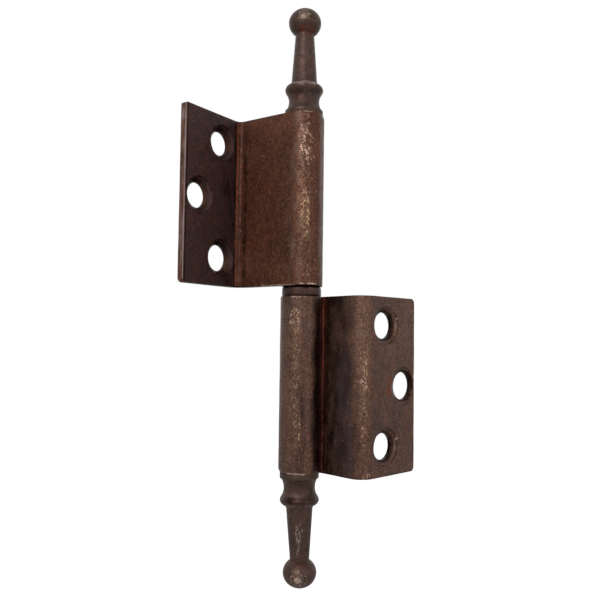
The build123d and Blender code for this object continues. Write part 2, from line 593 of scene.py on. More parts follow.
def run_on(mesh: BMesh, edge: BMEdge, way: Triple, steps: int) -> BMEdge:
    """Sweeps an upright edge straight on in equal steps.

    Args:
        mesh: the mesh that is drawn.
        edge: its last edge.
        way: how far it goes.
        steps: number of pieces.

    Returns:
        The edge where the sweep ends.
    """
    for _ in range(steps):
        made = bmesh.ops.extrude_edge_only(mesh, edges=[edge])["geom"]
        verts = [item for item in made if isinstance(item, BMVert)]
        bmesh.ops.translate(mesh, verts=verts, vec=Vector(way) / steps)
        edges = (item for item in made if isinstance(item, BMEdge))
        edge = next(item for item in edges if all(v in verts for v in item.verts))
    return edge


def loop_at(mesh: BMesh, level: float) -> None:
    """Cuts a loop of edges all round a mesh at a height."""
    whole = mesh.verts[:] + mesh.edges[:] + mesh.faces[:]
    bmesh.ops.bisect_plane(mesh, geom=whole, plane_co=(0, 0, level), plane_no=(0, 0, 1))


def sharp_edges(mesh: BMesh, angle: float) -> list[BMEdge]:
    """Finds the edges whose faces turn by more than an angle, in degrees."""
    closed = (edge for edge in mesh.edges if edge.is_manifold)
    return [edge for edge in closed if edge.calc_face_angle() > math.radians(angle)]


def round_off(mesh: BMesh, edges: list[BMEdge], radius: float, segments: int) -> list[BMFace]:
    """Rounds edges off.

    Args:
        mesh: the mesh that they are part of.
        edges: the edges.
        radius: how far from each edge its rounding starts.
        segments: number of flat pieces in a rounding.

    Returns:
        The roundings' faces.
    """
    made = bmesh.ops.bevel(
        mesh,
        geom=edges,
        offset=radius,
        offset_type="OFFSET",
        segments=segments,
        profile=0.5,
        affect="EDGES",
        material=-1,
        clamp_overlap=True,
    )
    return made["faces"]


def as_object(name: str, mesh: BMesh, material: Material) -> Object:
    """Turns a bmesh into a linked object.

    Args:
        name: the object's and its mesh's name.
        mesh: the bmesh, which is freed.
        material: its material.

    Returns:
        The new object.
    """
    data = bpy.data.meshes.new(name)
    mesh.to_mesh(data)
    mesh.free()
    data.materials.append(material)
    thing = bpy.data.objects.new(name, data)
    bpy.context.scene.collection.objects.link(thing)
    return thing


def cut(piece: Object, cutter: Object) -> None:
    """Cuts one object out of another and removes the cutter.

    Args:
        piece: what is cut.
        cutter: what is taken away.
    """
    drill = piece.modifiers.new("drill", "BOOLEAN")
    drill.operation = "DIFFERENCE"
    drill.solver = "EXACT"
    drill.object = cutter
    graph = bpy.context.evaluated_depsgraph_get()
    data = bpy.data.meshes.new_from_object(piece.evaluated_get(graph))
    piece.modifiers.clear()
    piece.data = data
    bpy.data.objects.remove(cutter)


def shade(piece: Object, crease: float = 35.0) -> None:
    """Shades a piece smooth between its sharp edges.

    Args:
        piece: the piece, in metres.
        crease: angle in degrees past which an edge stays sharp.
    """
    mesh = bmesh.new()
    mesh.from_mesh(piece.data)
    bmesh.ops.remove_doubles(mesh, verts=mesh.verts[:], dist=SAME_POINT * MM)
    bmesh.ops.recalc_face_normals(mesh, faces=mesh.faces[:])
    for face in mesh.faces:
        face.smooth = True
    for edge in mesh.edges:
        edge.smooth = True
    for edge in sharp_edges(mesh, crease):
        edge.smooth = False
    open_edges = sum(not edge.is_manifold for edge in mesh.edges)
    log.info("%s: %d faces, %d open edges", piece.name, len(mesh.faces), open_edges)
    mesh.to_mesh(piece.data)
    mesh.free()
    weighted = piece.modifiers.new("even shading", "WEIGHTED_NORMAL")
    weighted.keep_sharp = True


@dataclass(frozen=True)
class Screwhole:
    """A countersunk hole: its place out along the plate and up the leaf, and its sizes.

    Sink is the countersink's depth, and astray is how far its mouth was drilled off the hole's centre.
    """

    out: float
    up: float
    radius: float
    sink: float
    astray: float = 0.0


@dataclass
class CrankedLeaf:
    """One leaf: sheet steel rolled into a barrel, run out as a web and bent up into a screw plate.

    In its own frame the hinge axis is Z, the web runs along +X and the plate along +Y, and it stands on 0.
    A taper is a width and a height: how much thinner the barrel is filed at its end, and how far up.
    """

    node: str
    body: str
    place: OwnFrame
    reach: float
    plate_width: float
    holes: tuple[Screwhole, ...]
    countersunk_outside: bool
    foot_taper: Pair
    head_taper: Pair
    sheet: float = 2.0
    bore_radius: float = 2.8
    seam: float = 0.15
    bend_radius: float = 1.5
    corner_radii: Pair = (1.1, 1.1)
    edge_radius: float = 0.25
    back_chamfer: float = 0.2
    rim_radius: float = 0.12
    # The holes' dark oxide, which also paints the shade in them: reach past the hole, depth, cover and core.
    hole_grime_and_shade: float = 1.9
    grime_and_shade_depth: float = 1.6
    grime_and_shade_cover: float = 1.0
    grime_and_shade_core: float = 0.72
    unevenness: float = 0.03
    wave: float = 5.0
    loop_spacing: float = 1.6
    barrel_steps: int = 66
    web_steps: int = 8
    bend_steps: int = 12
    plate_steps: int = 9
    corner_segments: int = 7
    edge_segments: int = 3
    sharp_angle: float = 50.0
    hole_steps: int = 72

    @property
    def barrel_radius(self) -> float:
        """Outside radius of the barrel."""
        return self.bore_radius + self.sheet

    @property
    def height(self) -> float:
        """Height of the leaf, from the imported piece."""
        low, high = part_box(self.node)
        return (high.z - low.z) / MM

    @property
    def free_edge(self) -> float:
        """Distance from the hinge axis to the plate's free edge."""
        return self.barrel_radius + self.plate_width

    def build(self, finish: Material) -> Object:
        """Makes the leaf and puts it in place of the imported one.

        Args:
            finish: the leaf's material.

        Returns:
            The leaf's object.
        """
        mesh = bmesh.new()
        mesh.faces.layers.float.new(EDGE_ATTRIBUTE)
        self.fold_sheet(mesh)
        self.round_corners(mesh)
        self.file_ends(mesh)
        self.break_edges(mesh)
        self.wear_uneven(mesh)
        leaf = as_object(self.node + "_sheet", mesh, finish)
        cut(leaf, as_object(self.node + "_drills", self.drills(), finish))
        self.stand(leaf)
        shade(leaf)
        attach(leaf, self.body)
        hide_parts(self.node)
        return leaf

    def fold_sheet(self, mesh: BMesh) -> None:
        """Folds the sheet: draws its bore side from the curled end to the free edge, then thickens it.

        Args:
            mesh: the leaf's empty mesh.
        """
        curl = math.asin((self.bore_radius - self.seam) / self.barrel_radius)
        start = Vector((math.cos(curl), math.sin(curl), 0)) * self.bore_radius
        bend_start = self.reach - self.bend_radius
        bend_middle = (bend_start, self.barrel_radius + self.bend_radius, 0)
        plate_run = (0, self.plate_width - self.bend_radius, 0)
        rolled = math.radians(270) + curl
        corner = mesh.verts.new(start)
        upright = bmesh.ops.extrude_vert_indiv(mesh, verts=[corner])
        bmesh.ops.translate(mesh, verts=upright["verts"], vec=(0, 0, self.height))
        edge = upright["edges"][0]
        edge = spun(mesh, edge, (0, 0, 0), -rolled, self.barrel_steps)
        edge = run_on(mesh, edge, (bend_start, 0, 0), self.web_steps)
        edge = spun(mesh, edge, bend_middle, math.pi / 2, self.bend_steps)
        run_on(mesh, edge, plate_run, self.plate_steps)
        bmesh.ops.recalc_face_normals(mesh, faces=mesh.faces[:])
        inward = mesh.faces[0].normal.dot(mesh.faces[0].calc_center_median()) < 0
        thickness = self.sheet if inward else -self.sheet
        bmesh.ops.solidify(mesh, geom=mesh.faces[:], thickness=thickness)
        bmesh.ops.recalc_face_normals(mesh, faces=mesh.faces[:])

    def round_corners(self, mesh: BMesh) -> None:
        """Rounds the plate's two free corners, the bottom one and the top one.

        Args:
            mesh: the leaf's mesh.
        """
        for level, radius in zip((0.0, self.height), self.corner_radii):
            near = {
                vert
                for vert in mesh.verts
                if abs(vert.co.y - self.free_edge) < ON_LINE and abs(vert.co.z - level) < ON_LINE
            }
            corner = [edge for edge in mesh.edges if all(vert in near for vert in edge.verts)]
            round_off(mesh, corner, radius, self.corner_segments)

    def file_ends(self, mesh: BMesh) -> None:
        """Files the tapers round the barrel's ends. Each is set over, so it runs out where the web starts.

        Args:
            mesh: the leaf's mesh.
        """
        slack = 0.05
        ends = ((0.0, 1.0, self.foot_taper), (self.height, -1.0, self.head_taper))
        for end, inward, (width, height) in ends:
            if not width:
                continue
            loop_at(mesh, end + inward * height)
            ring = [
                vert
                for vert in mesh.verts
                if abs(vert.co.z - end) < ON_LINE
                and abs(vert.co.xy.length - self.barrel_radius) < slack
                and not (vert.co.x > slack and vert.co.y > self.bore_radius)
            ]
            share = 1 - width / 2 / self.barrel_radius
            bmesh.ops.scale(mesh, verts=ring, vec=(share, share, 1))
            bmesh.ops.translate(mesh, verts=ring, vec=(0, width / 2, 0))

    def break_edges(self, mesh: BMesh) -> None:
        """Rounds every sharp edge a little, and marks those roundings for the edge mark of dark oxide and
        painted shade.

        Args:
            mesh: the leaf's mesh.
        """
        edges = sharp_edges(mesh, self.sharp_angle)
        rounded = round_off(mesh, edges, self.edge_radius, self.edge_segments)
        rounding_mark = mesh.faces.layers.float[EDGE_ATTRIBUTE]
        for face in rounded:
            face[rounding_mark] = 1.0

    def wear_uneven(self, mesh: BMesh) -> None:
        """Adds loops along the leaf and moves its surface by hundredths of a millimetre, as hand work does.

        Args:
            mesh: the leaf's mesh.
        """
        count = int(self.height / self.loop_spacing)
        for step in range(1, count):
            loop_at(mesh, self.height * step / count)
        mesh.normal_update()
        for vert in mesh.verts:
            if vert.co.xy.length > self.bore_radius + self.sheet / 2:
                vert.co += vert.normal * self.unevenness * noise.noise(vert.co / self.wave)

    def drills(self) -> BMesh:
        """Makes the cutters for the screw holes, with rims that leave the hole's edges slightly broken.

        Returns:
            A mesh of closed cutters that stand where the holes are.
        """
        cutters = bmesh.new()
        cutters.faces.layers.float.new(EDGE_ATTRIBUTE)
        for hole in self.holes:
            self.drill(cutters, hole)
        bmesh.ops.recalc_face_normals(cutters, faces=cutters.faces[:])
        return cutters

    def drill(self, cutters: BMesh, hole: Screwhole) -> None:
        """Turns one hole's cutter, marks its rim for the edge mark of dark oxide and painted shade, and lays
        it through the plate.

        Args:
            cutters: the mesh that gets it.
            hole: the hole.
        """
        clear = 1.0
        rim = self.rim_radius
        rim_depth = rim * 1.4
        mouth_radius = hole.radius + hole.sink
        back_radius = hole.radius + self.back_chamfer
        profile = (
            (0.0, clear),
            (mouth_radius + rim * 2 + clear, clear),
            (mouth_radius + rim * 2, 0.0),
            (mouth_radius - rim, -rim_depth),
            (hole.radius, -hole.sink),
            (hole.radius, -self.sheet + self.back_chamfer),
            (back_radius, -self.sheet),
            (back_radius, -self.sheet - clear),
            (0.0, -self.sheet - clear),
        )
        before = set(cutters.verts)
        chain = [cutters.verts.new((out, 0, up)) for out, up in profile]
        edges = [cutters.edges.new(pair) for pair in zip(chain, chain[1:])]
        bmesh.ops.spin(
            cutters,
            geom=chain + edges,
            cent=(0, 0, 0),
            axis=(0, 0, 1),
            angle=math.tau,
            steps=self.hole_steps,
            use_merge=True,
        )
        turned = [vert for vert in cutters.verts if vert not in before]
        bmesh.ops.remove_doubles(cutters, verts=turned, dist=SAME_POINT)
        turned = [vert for vert in cutters.verts if vert not in before]
        rounding_mark = cutters.faces.layers.float[EDGE_ATTRIBUTE]
        for face in cutters.faces:
            level = face.calc_center_median().z
            if -rim_depth < level < 0 and all(vert in turned for vert in face.verts):
                face[rounding_mark] = 1.0
        mouth = [vert for vert in turned if vert.co.z > -hole.sink + ON_LINE]
        bmesh.ops.translate(cutters, verts=mouth, vec=(0, hole.astray, 0))
        facing = 1.0 if self.countersunk_outside else -1.0
        face_at = self.reach + self.sheet if self.countersunk_outside else self.reach
        lie = Matrix.Rotation(facing * math.pi / 2, 4, "Y")
        place = Matrix.Translation((face_at, hole.out, hole.up))
        bmesh.ops.transform(cutters, matrix=place @ lie, verts=turned)

    def sooty_and_shaded_holes(self) -> tuple[Spot, ...]:
        """Lists the dark oxide on the walls of the holes, which also paints the shade in them.

        Returns:
            One spot for each hole.
        """
        middle = self.reach + self.sheet / 2
        spots = []
        for hole in self.holes:
            round_hole = hole.radius + self.hole_grime_and_shade
            reach = (self.grime_and_shade_depth, round_hole, round_hole)
            centre = (middle, hole.out, hole.up)
            spots.append(Spot(Mark.SOOT_AND_SHADE, centre, reach, self.grime_and_shade_cover, self.grime_and_shade_core))
        return tuple(spots)

    def stand(self, leaf: Object) -> None:
        """Turns the leaf to where it stands and brings it to metres, in its mesh.

        Args:
            leaf: the leaf's object.
        """
        turn = Matrix.Rotation(math.radians(self.place.turn), 4, "Z")
        lift = Matrix.Translation((0, 0, self.place.foot))
        leaf.data.transform(Matrix.Scale(MM, 4) @ lift @ turn)
        leaf.data.update()


@dataclass
class Pen:
    """Draws a half outline in the XZ plane: out from the axis and up along it."""

    mesh: BMesh
    tip: BMVert

    def line(self, *points: Pair) -> None:
        """Draws straight on from point to point.

        Args:
            points: each point's distance from the axis and its height.
        """
        for out, up in points:
            made = bmesh.ops.extrude_vert_indiv(self.mesh, verts=[self.tip])
            self.tip = made["verts"][0]
            self.tip.co = (out, 0, up)

    def sweep(self, centre: Pair, angle: float, steps: int) -> None:
        """Draws round a centre.

        Args:
            centre: the centre.
            angle: the angle in radians, counted from out to up.
            steps: number of straight pieces.
        """
        made = bmesh.ops.spin(
            self.mesh,
            geom=[self.tip],
            cent=(centre[0], 0, centre[1]),
            axis=(0, 1, 0),
            angle=-angle,
            steps=steps,
        )
        self.tip = next(item for item in made["geom_last"] if isinstance(item, BMVert))

    def arc(self, middle: Pair, end: Pair, steps: int) -> None:
        """Draws the arc through a middle point to an end point.

        Args:
            middle: a point on the way.
            end: the last point.
            steps: number of straight pieces.
        """
        start = Vector((self.tip.co.x, self.tip.co.z))
        one = Vector(middle) - start
        two = Vector(end) - start
        # The centre of the circle through all three points. The divisor is four times their triangle's area,
        # and its sign says which way round they go.
        divisor = 2 * (one.x * two.y - one.y * two.x)
        out = two.y * one.length_squared - one.y * two.length_squared
        up = one.x * two.length_squared - two.x * one.length_squared
        centre = start + Vector((out, up)) / divisor
        first = start - centre
        last = Vector(end) - centre
        angle = math.atan2(last.y, last.x) - math.atan2(first.y, first.x)
        if angle * divisor < 0:
            angle += math.copysign(math.tau, divisor)
        self.sweep(tuple(centre), angle, steps)

    def soften(self, at: Pair, reach: float, rounds: int) -> None:
        """Smooths the drawn line round a corner.

        Args:
            at: the corner.
            reach: how far from it the line is smoothed.
            rounds: how often.
        """
        corner = Vector((at[0], 0, at[1]))
        near = [vert for vert in self.mesh.verts if (vert.co - corner).length < reach]
        for _ in range(rounds):
            bmesh.ops.smooth_vert(self.mesh, verts=near, factor=0.5, use_axis_x=True, use_axis_z=True)

    def oval(self, centre: float, out_radius: float, up_radius: float, steps: int) -> None:
        """Draws round an oval that is centred on the axis, up to its top.

        Args:
            centre: height of the oval's centre.
            out_radius: its half width.
            up_radius: its half height.
            steps: number of straight pieces.
        """
        squash = up_radius / out_radius
        known = set(self.mesh.verts) - {self.tip}
        self.tip.co.z = centre + (self.tip.co.z - centre) / squash
        start = math.atan2(self.tip.co.z - centre, self.tip.co.x)
        self.sweep((0.0, centre), math.pi / 2 - start, steps)
        drawn = [vert for vert in self.mesh.verts if vert not in known]
        about_centre = Matrix.Translation((0, 0, -centre))
        bmesh.ops.scale(self.mesh, verts=drawn, vec=(1, 1, squash), space=about_centre)


@dataclass
class Turned:
    """A piece turned on the lathe: a half outline spun once round its axis."""

    node: str
    body: str
    slot: str
    stands: Matrix = field(default_factory=Matrix)
    steps: int = 96
    edge_radius: float = 0.1
    edge_segments: int = 2
    sharp_angle: float = 35.0

    def start(self) -> Pair:
        """Gives the outline's first point."""
        raise NotImplementedError

    def draw(self, pen: Pen) -> None:
        """Draws the outline from its first point."""
        raise NotImplementedError

    def build(self, finish: Material) -> Object:
        """Spins the outline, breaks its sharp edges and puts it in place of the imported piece.

        Args:
            finish: the piece's material.

        Returns:
            The piece's object.
        """
        mesh = bmesh.new()
        out, up = self.start()
        first = bmesh.ops.create_vert(mesh, co=(out, 0, up))["vert"][0]
        self.draw(Pen(mesh, first))
        bmesh.ops.remove_doubles(mesh, verts=mesh.verts[:], dist=SAME_POINT)
        bmesh.ops.spin(
            mesh,
            geom=mesh.verts[:] + mesh.edges[:],
            cent=(0, 0, 0),
            axis=(0, 0, 1),
            angle=math.tau,
            steps=self.steps,
            use_merge=True,
        )
        bmesh.ops.remove_doubles(mesh, verts=mesh.verts[:], dist=SAME_POINT)
        bmesh.ops.recalc_face_normals(mesh, faces=mesh.faces[:])
        outer = [edge for edge in sharp_edges(mesh, self.sharp_angle) if edge.is_convex]
        round_off(mesh, outer, self.edge_radius, self.edge_segments)
        bmesh.ops.transform(mesh, matrix=Matrix.Scale(MM, 4) @ self.stands, verts=mesh.verts[:])
        piece = as_object(self.node + "_turned", mesh, finish)
        shade(piece)
        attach(piece, self.body)
        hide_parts(self.node)
        return piece


@dataclass
class Finial(Turned):
    """A finial: spigot, disc, cove, bead, foot, tapered shaft and a slightly flattened ball.

    A pair of sizes is a radius and a length. The shaft's radii are its foot's and its top's, and the ball's
    are across it and up.
    """

    spigot: Pair = (2.8, 8.0)
    spigot_chamfer: float = 0.4
    disc: Pair = (4.45, 1.3)
    disc_rounding: float = 0.35
    cove_radii: Pair = (3.55, 3.8)
    cove_middle: float = 2.0
    cove_length: float = 3.6
    bead: Pair = (4.44, 2.4)
    foot: Pair = (3.25, 0.7)
    shaft_radii: Pair = (3.0, 2.18)
    shaft_length: float = 11.5
    shaft_steps: int = 4
    ball: Pair = (3.81, 3.41)
    lip_softness: float = 1.1
    lip_rounds: int = 8

    def start(self) -> Pair:
        """Gives the middle of the spigot's end."""
        return 0.0, -self.spigot[1]

    def draw(self, pen: Pen) -> None:
        """Draws the finial from its spigot to the tip of the ball.

        Args:
            pen: the pen, at the outline's first point.
        """
        radius, length = self.spigot
        chamfer = self.spigot_chamfer
        pen.line((radius - chamfer, -length), (radius, chamfer - length), (radius, 0.0))

        disc_radius, disc_height = self.disc
        rounding = self.disc_rounding
        pen.line((disc_radius, 0.0), (disc_radius, disc_height - rounding))
        pen.sweep((disc_radius - rounding, disc_height - rounding), math.pi / 2, steps=5)

        waist, lip = self.cove_radii
        bead_radius, bead_height = self.bead
        cove_end = disc_height + self.cove_length
        bead_end = cove_end + bead_height
        pen.arc((waist, disc_height + self.cove_middle), (lip, cove_end), steps=14)
        pen.arc((bead_radius, cove_end + bead_height / 2), (self.foot[0], bead_end), steps=16)
        pen.soften((lip, cove_end), self.lip_softness, self.lip_rounds)

        low, top = self.shaft_radii
        shaft_start = bead_end + self.foot[1]
        pen.line((low, shaft_start))
        for step in range(1, self.shaft_steps + 1):
            share = step / self.shaft_steps
            pen.line((low + (top - low) * share, shaft_start + self.shaft_length * share))

        ball_radius, ball_half = self.ball
        neck = shaft_start + self.shaft_length
        below_middle = ball_half * math.sqrt(1 - (top / ball_radius) ** 2)
        pen.oval(neck + below_middle, ball_radius, ball_half, steps=26)


@dataclass
class BearingRing(Turned):
    """The ring between the barrels, rounded round its top."""

    radius: float = 4.5
    bore: float = 2.8
    height: float = 2.3
    rounding: float = 0.65

    def start(self) -> Pair:
        """Gives the bore's lower edge."""
        return self.bore, -self.height / 2

    def draw(self, pen: Pen) -> None:
        """Draws the section of the ring all the way round.

        Args:
            pen: the pen, at the outline's first point.
        """
        top = self.height / 2
        pen.line((self.radius, -top), (self.radius, top - self.rounding))
        pen.sweep((self.radius - self.rounding, top - self.rounding), math.pi / 2, steps=8)
        pen.line((self.bore, top), self.start())


@dataclass
class HingePin(Turned):
    """The pin: its seat fills the lower bore, and the rest is a little thinner and ends in a coned point.

    The seat is its radius, foot and top. The runner is its radius and its tip's height, and the point is how
    much narrower it gets and over what length.
    """

    seat: Triple = (2.8, -32.15, -1.65)
    chamfer: float = 0.4
    runner: Pair = (2.75, 25.15)
    point: Pair = (0.8, 1.2)

    def start(self) -> Pair:
        """Gives the middle of the pin's lower end."""
        return 0.0, self.seat[1]

    def draw(self, pen: Pen) -> None:
        """Draws the pin from its lower end to its point.

        Args:
            pen: the pen, at the outline's first point.
        """
        radius, foot, seat_top = self.seat
        runner, tip = self.runner
        width, length = self.point
        pen.line((radius - self.chamfer, foot), (radius, foot + self.chamfer), (radius, seat_top))
        pen.line((runner, seat_top), (runner, tip - length), (runner - width, tip), (0.0, tip))


@dataclass(frozen=True)
class SoftLamp:
    """A square lamp: its place right, away and up from the hinge, its side, and its power in watts."""

    name: str
    place: Triple
    side: float
    power: float


@dataclass
class Studio:
    """Plain soft studio: white surroundings, a pale floor well below, soft lamps and the photo's camera.

    The camera's place is along its own plan axes: right, back from the hinge, and up. Those axes are turned
    from the row's by turn. Sizes are in millimetres and angles in degrees.
    """

    focal_pixels: float = 691.003
    right: float = -0.341
    back: float = 159.288
    up: float = -10.979
    turn: float = 45.525
    pitch: float = 3.257
    roll: float = 0.759
    sensor: float = 36.0
    surrounding_light: float = 0.5
    floor_drop: float = 45.0
    floor_size: float = 3000.0
    floor_lift: float = 0.55
    lamps: tuple[SoftLamp, ...] = (
        SoftLamp("key", (-140.0, -400.0, 200.0), side=240.0, power=1.15),
        SoftLamp("fill", (330.0, -260.0, 60.0), side=260.0, power=0.25),
    )

    def build(self) -> None:
        """Sets up the camera, the world, the floor and the lamps."""
        scene = bpy.context.scene
        scene.view_settings.view_transform = "Standard"
        scene.camera = self.camera()
        scene.world = self.world()
        self.floor()
        for spec in self.lamps:
            self.hang(spec)

    def in_row(self, right: float, away: float, up: float) -> Vector:
        """Turns a place along the camera's plan axes into a row place in metres."""
        return Matrix.Rotation(math.radians(self.turn), 3, "Z") @ Vector((right, away, up)) * MM

    def camera(self) -> Object:
        """Makes the camera at the photograph's place.

        Returns:
            The camera's object.
        """
        data = bpy.data.cameras.new("camera")
        data.sensor_width = self.sensor
        data.lens = self.focal_pixels * self.sensor / PHOTO_PIXELS
        data.clip_start = 0.01
        data.clip_end = 20.0
        camera = bpy.data.objects.new("camera", data)
        bpy.context.scene.collection.objects.link(camera)
        aim = (
            Matrix.Rotation(math.radians(self.turn), 4, "Z")
            @ Matrix.Rotation(math.pi / 2 + math.radians(self.pitch), 4, "X")
            @ Matrix.Rotation(math.radians(self.roll), 4, "Z")
        )
        camera.matrix_world = Matrix.Translation(self.in_row(self.right, -self.back, self.up)) @ aim
        return camera

    def world(self) -> World:
        """Makes surroundings that are white to the camera and in reflections, and a plain level of light.

        Returns:
            The world.
        """
        world = bpy.data.worlds.new("white surroundings")
        world.use_nodes = True
        tree = world.node_tree
        tree.nodes.clear()
        white = linear("ffffff")
        ray = add_node(tree, "ShaderNodeLightPath").outputs
        either = {0: ray["Is Camera Ray"], 1: ray["Is Glossy Ray"]}
        mirrored = add_node(tree, "ShaderNodeMath", either, operation="MAXIMUM")
        either = {0: mirrored, 1: ray["Is Transmission Ray"]}
        shown = add_node(tree, "ShaderNodeMath", either, operation="MAXIMUM")
        light = add_node(tree, "ShaderNodeBackground", {"Color": white, "Strength": self.surrounding_light})
        view = add_node(tree, "ShaderNodeBackground", {"Color": white, "Strength": 1.0})
        mixed = add_node(tree, "ShaderNodeMixShader", {0: shown, 1: light, 2: view})
        add_node(tree, "ShaderNodeOutputWorld", {"Surface": mixed})
        return world

    def floor(self) -> None:
        """Lays the pale floor below the lower finial."""
        low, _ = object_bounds()
        level = low.z - self.floor_drop * MM
        mesh = bmesh.new()
        bmesh.ops.create_grid(mesh, x_segments=1, y_segments=1, size=self.floor_size * MM / 2)
        bmesh.ops.translate(mesh, verts=mesh.verts[:], vec=(0, 0, level))
        as_object("floor", mesh, self.board())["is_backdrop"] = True

    def board(self) -> Material:
        """Makes matt white board, which shows no gloss.

        What it adds for the camera alone makes it as white as the surroundings, and the shadow stays on it.

        Returns:
            The board's material.
        """
        material = bpy.data.materials.new("matt white board")
        material.use_nodes = True
        tree = material.node_tree
        tree.nodes.clear()
        matt = add_node(
            tree,
            "ShaderNodeBsdfPrincipled",
            {"Base Color": linear("f4f4f4"), "Roughness": 1.0, "Specular IOR Level": 0.0},
        )
        ray = add_node(tree, "ShaderNodeLightPath").outputs
        seen = {0: ray["Is Camera Ray"], 1: self.floor_lift}
        lift = add_node(tree, "ShaderNodeMath", seen, operation="MULTIPLY")
        glow = add_node(tree, "ShaderNodeEmission", {"Color": linear("ffffff"), "Strength": lift})
        whole = add_node(tree, "ShaderNodeAddShader", {0: matt, 1: glow})
        add_node(tree, "ShaderNodeOutputMaterial", {"Surface": whole})
        return material

    def hang(self, spec: SoftLamp) -> None:
        """Hangs one lamp that looks at the hinge.

        Args:
            spec: the lamp.
        """
        data = bpy.data.lights.new(spec.name, "AREA")
        data.size = spec.side * MM
        data.energy = spec.power
        lamp = bpy.data.objects.new(spec.name, data)
        bpy.context.scene.collection.objects.link(lamp)
        at = self.in_row(*spec.place)
        lamp.location = at
        lamp.rotation_mode = "QUATERNION"
        lamp.rotation_quaternion = (-at).to_track_quat("-Z", "Y")


# Places worn by hands, damp and age, and places of painted highlight, reflection and shade, in each
# piece's own frame. Each mark lies over those before it.
LOWER_SPOTS = (
    # Web: old dark oxide, with painted shade where the barrel shades it, and plum scale towards the bend.
    Spot(Mark.SOOT_AND_SHADE, (8.2, 2.8, 20.0), (7.0, 1.5, 60.0), 0.7, 0.3),
    Spot(Mark.SOOT_AND_SHADE, (5.2, 2.4, 20.0), (1.6, 2.4, 60.0), 0.6, 0.5),
    Spot(Mark.BLUED, (10.8, 2.8, 16.0), (3.4, 1.0, 20.0), 0.8, 0.3),
    Spot(Mark.BLUED, (12.6, 2.8, 6.0), (1.8, 1.0, 12.0), 0.8, 0.3),
    # Plate: blooms of rust.
    Spot(Mark.RED, (16.3, 19.0, 11.0), (1.0, 2.6, 7.0), 0.7),
    Spot(Mark.RED, (16.3, 13.0, 6.0), (1.0, 6.0, 5.0), 0.4),
    # Seam: rust in its groove and beside it.
    Spot(Mark.RED, (5.0, 2.8, 20.0), (1.5, 0.9, 60.0), 0.8, 0.3),
    Spot(Mark.SEAM_RUST, (4.38, 2.8, 20.0), (0.5, 0.9, 55.0), 0.75, 0.2),
    Spot(Mark.SEAM_RUST, (4.38, 2.8, 32.0), (0.42, 0.9, 12.0), 1.0, 0.5),
    # Bend: rubbed through by handling, most in its middle, with a painted highlight laid there too.
    Spot(Mark.GILT, (15.9, 4.3, 28.0), (1.9, 2.0, 30.0), 0.55, 0.3),
    Spot(Mark.SPECKLED, (15.75, 4.0, 22.0), (1.9, 1.9, 34.0), 0.8, 0.3),
    Spot(Mark.SCRATCHED, (15.8, 3.85, 22.0), (1.3, 1.3, 9.0), 0.9, 0.4),
    Spot(Mark.SCRATCHED, (15.8, 3.9, 10.0), (1.0, 1.1, 7.0), 0.7, 0.3),
    Spot(Mark.SCRATCHED, (16.0, 4.8, 0.6), (1.8, 2.2, 1.4), 0.9, 0.4),
    # Painted shade on the foot of the bend, and rust beside the middle hole.
    Spot(Mark.SOOT_AND_SHADE, (14.3, 3.0, 9.0), (1.5, 1.2, 15.0), 0.5, 0.4),
    Spot(Mark.RUST, (16.3, 12.1, 19.9), (1.0, 2.0, 3.6), 0.9, 0.3),
    # Barrel: scratched near its top, rubbed in front where a painted highlight is laid too, a painted grey
    # reflection on one rim, and painted shade where it curls into the web.
    Spot(Mark.SCRATCHED, (2.2, -4.2, 34.3), (1.8, 1.5, 4.6), 1.0, 0.5),
    Spot(Mark.SOOT_AND_SHADE, (3.0, -3.7, 12.0), (2.8, 2.4, 22.0), 0.45, 0.3),
    Spot(Mark.GILT, (2.6, -4.0, 32.0), (2.0, 1.8, 12.0), 0.4, 0.3),
    Spot(Mark.SPECKLED, (2.6, -4.0, 18.0), (1.6, 1.4, 28.0), 0.8, 0.3),
    Spot(Mark.SPECKLED, (1.0, -4.6, 22.0), (3.8, 2.6, 30.0), 0.55, 0.5),
    Spot(Mark.BRASSY, (3.35, -3.42, 9.0), (0.35, 0.35, 10.0), 0.85, 0.4),
    Spot(Mark.GREY_REFLECTION, (-2.8, -4.0, 20.0), (2.0, 3.0, 60.0), 0.6, 0.5),
    Spot(Mark.SOOT_AND_SHADE, (4.9, 0.9, 20.0), (1.5, 3.0, 60.0), 0.85, 0.3),
    # Ends of the leaf: painted highlights on its rubbed rims and painted shade along its top end; painted
    # glints on the rims of its holes.
    Spot(Mark.GLINT_AND_BARE_EDGE, (2.2, -3.6, 0.25), (4.6, 3.6, 0.6), 0.8, 0.3),
    Spot(Mark.SOOT_AND_SHADE, (9.0, 3.5, 40.05), (5.5, 4.0, 0.5), 0.8, 0.6),
    Spot(Mark.SOOT_AND_SHADE, (7.2, 2.8, 39.0), (3.4, 1.4, 2.6), 0.8, 0.3),
    Spot(Mark.GLINT_AND_BARE_EDGE, (2.4, -3.6, 39.8), (3.6, 3.0, 0.4), 0.55, 0.5),
    Spot(Mark.GLINT_AND_BARE_EDGE, (16.3, 14.6, 35.1), (0.5, 0.5, 0.4), 1.0, 0.5),
    Spot(Mark.GLINT_AND_BARE_EDGE, (16.3, 14.7, 8.0), (0.5, 0.5, 0.5), 1.0, 0.5),
    Spot(Mark.BURNISH_AND_HIGHLIGHT, (16.0, 14.6, 33.6), (0.7, 0.6, 2.2), 0.4, 0.2),
    Spot(Mark.BURNISH_AND_HIGHLIGHT, (16.0, 14.6, 6.6), (0.7, 0.6, 2.2), 0.4, 0.2),
    Spot(Mark.GLINT_AND_BARE_EDGE, (16.3, 21.0, 22.0), (0.5, 0.4, 0.8), 1.0, 0.5),
    # Thin specks all over.
    Spot(Mark.SPECKLED, (8.0, 10.0, 20.0), (90.0, 90.0, 90.0), 0.35, 0.9),
)

